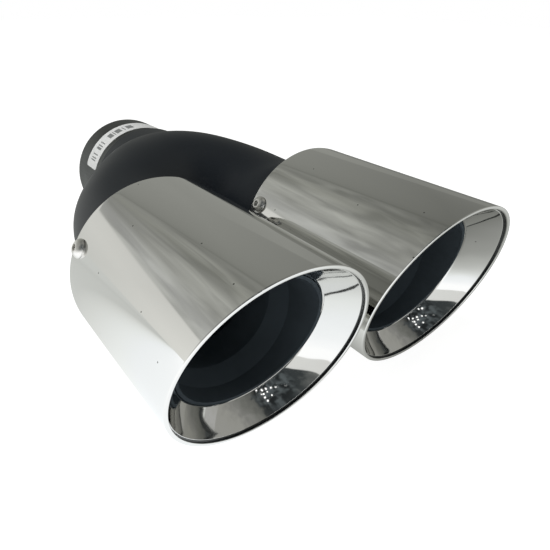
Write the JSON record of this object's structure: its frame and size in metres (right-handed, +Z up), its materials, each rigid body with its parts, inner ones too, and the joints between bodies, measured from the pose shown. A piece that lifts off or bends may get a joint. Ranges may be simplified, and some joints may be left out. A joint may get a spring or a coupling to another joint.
{
  "type": "twin exhaust tip",
  "caption": "Y-shaped black exhaust end piece with a slip-on inlet collar and slant-cut polished double-wall tips.",
  "frame": {"origin": "centre of the inlet collar's mouth, where the tail pipe enters", "axes": "+Y out of the inlet collar, towards the car; -Y out of the tips, away from it; +Z up; +X to the right of the tips seen from behind the car"},
  "size_m": [0.1554, 0.2283, 0.0784],
  "materials": {
    "polished_steel": "mirror-polished stainless steel",
    "black_paint": "satin black heat-resistant paint",
    "collar_steel": "bare steel, dull grey",
    "ring_steel": "pressed steel, mill finish",
    "screw_steel": "bright stainless steel",
    "label_paper": "white paper with grey bars"
  },
  "bodies": {
    "root": {"inlet_collar": "collar_steel", "upper_shell": "black_paint", "lower_shell": "black_paint", "collar_weld": "black_paint", "paper_label": "label_paper", "left_sleeve": "polished_steel", "left_mouth_cone": "polished_steel", "left_inner_pipe": "black_paint", "left_mount_ring": "ring_steel", "left_ring_weld": "ring_steel", "left_screw_1": "screw_steel", "left_screw_2": "screw_steel", "left_screw_3": "screw_steel", "left_nut_1": "screw_steel", "left_nut_2": "screw_steel", "left_nut_3": "screw_steel", "right_sleeve": "polished_steel", "right_mouth_cone": "polished_steel", "right_inner_pipe": "black_paint", "right_mount_ring": "ring_steel", "right_ring_weld": "ring_steel", "right_screw_1": "screw_steel", "right_screw_2": "screw_steel", "right_screw_3": "screw_steel", "right_nut_1": "screw_steel", "right_nut_2": "screw_steel", "right_nut_3": "screw_steel"}
  },
  "joints": []
}
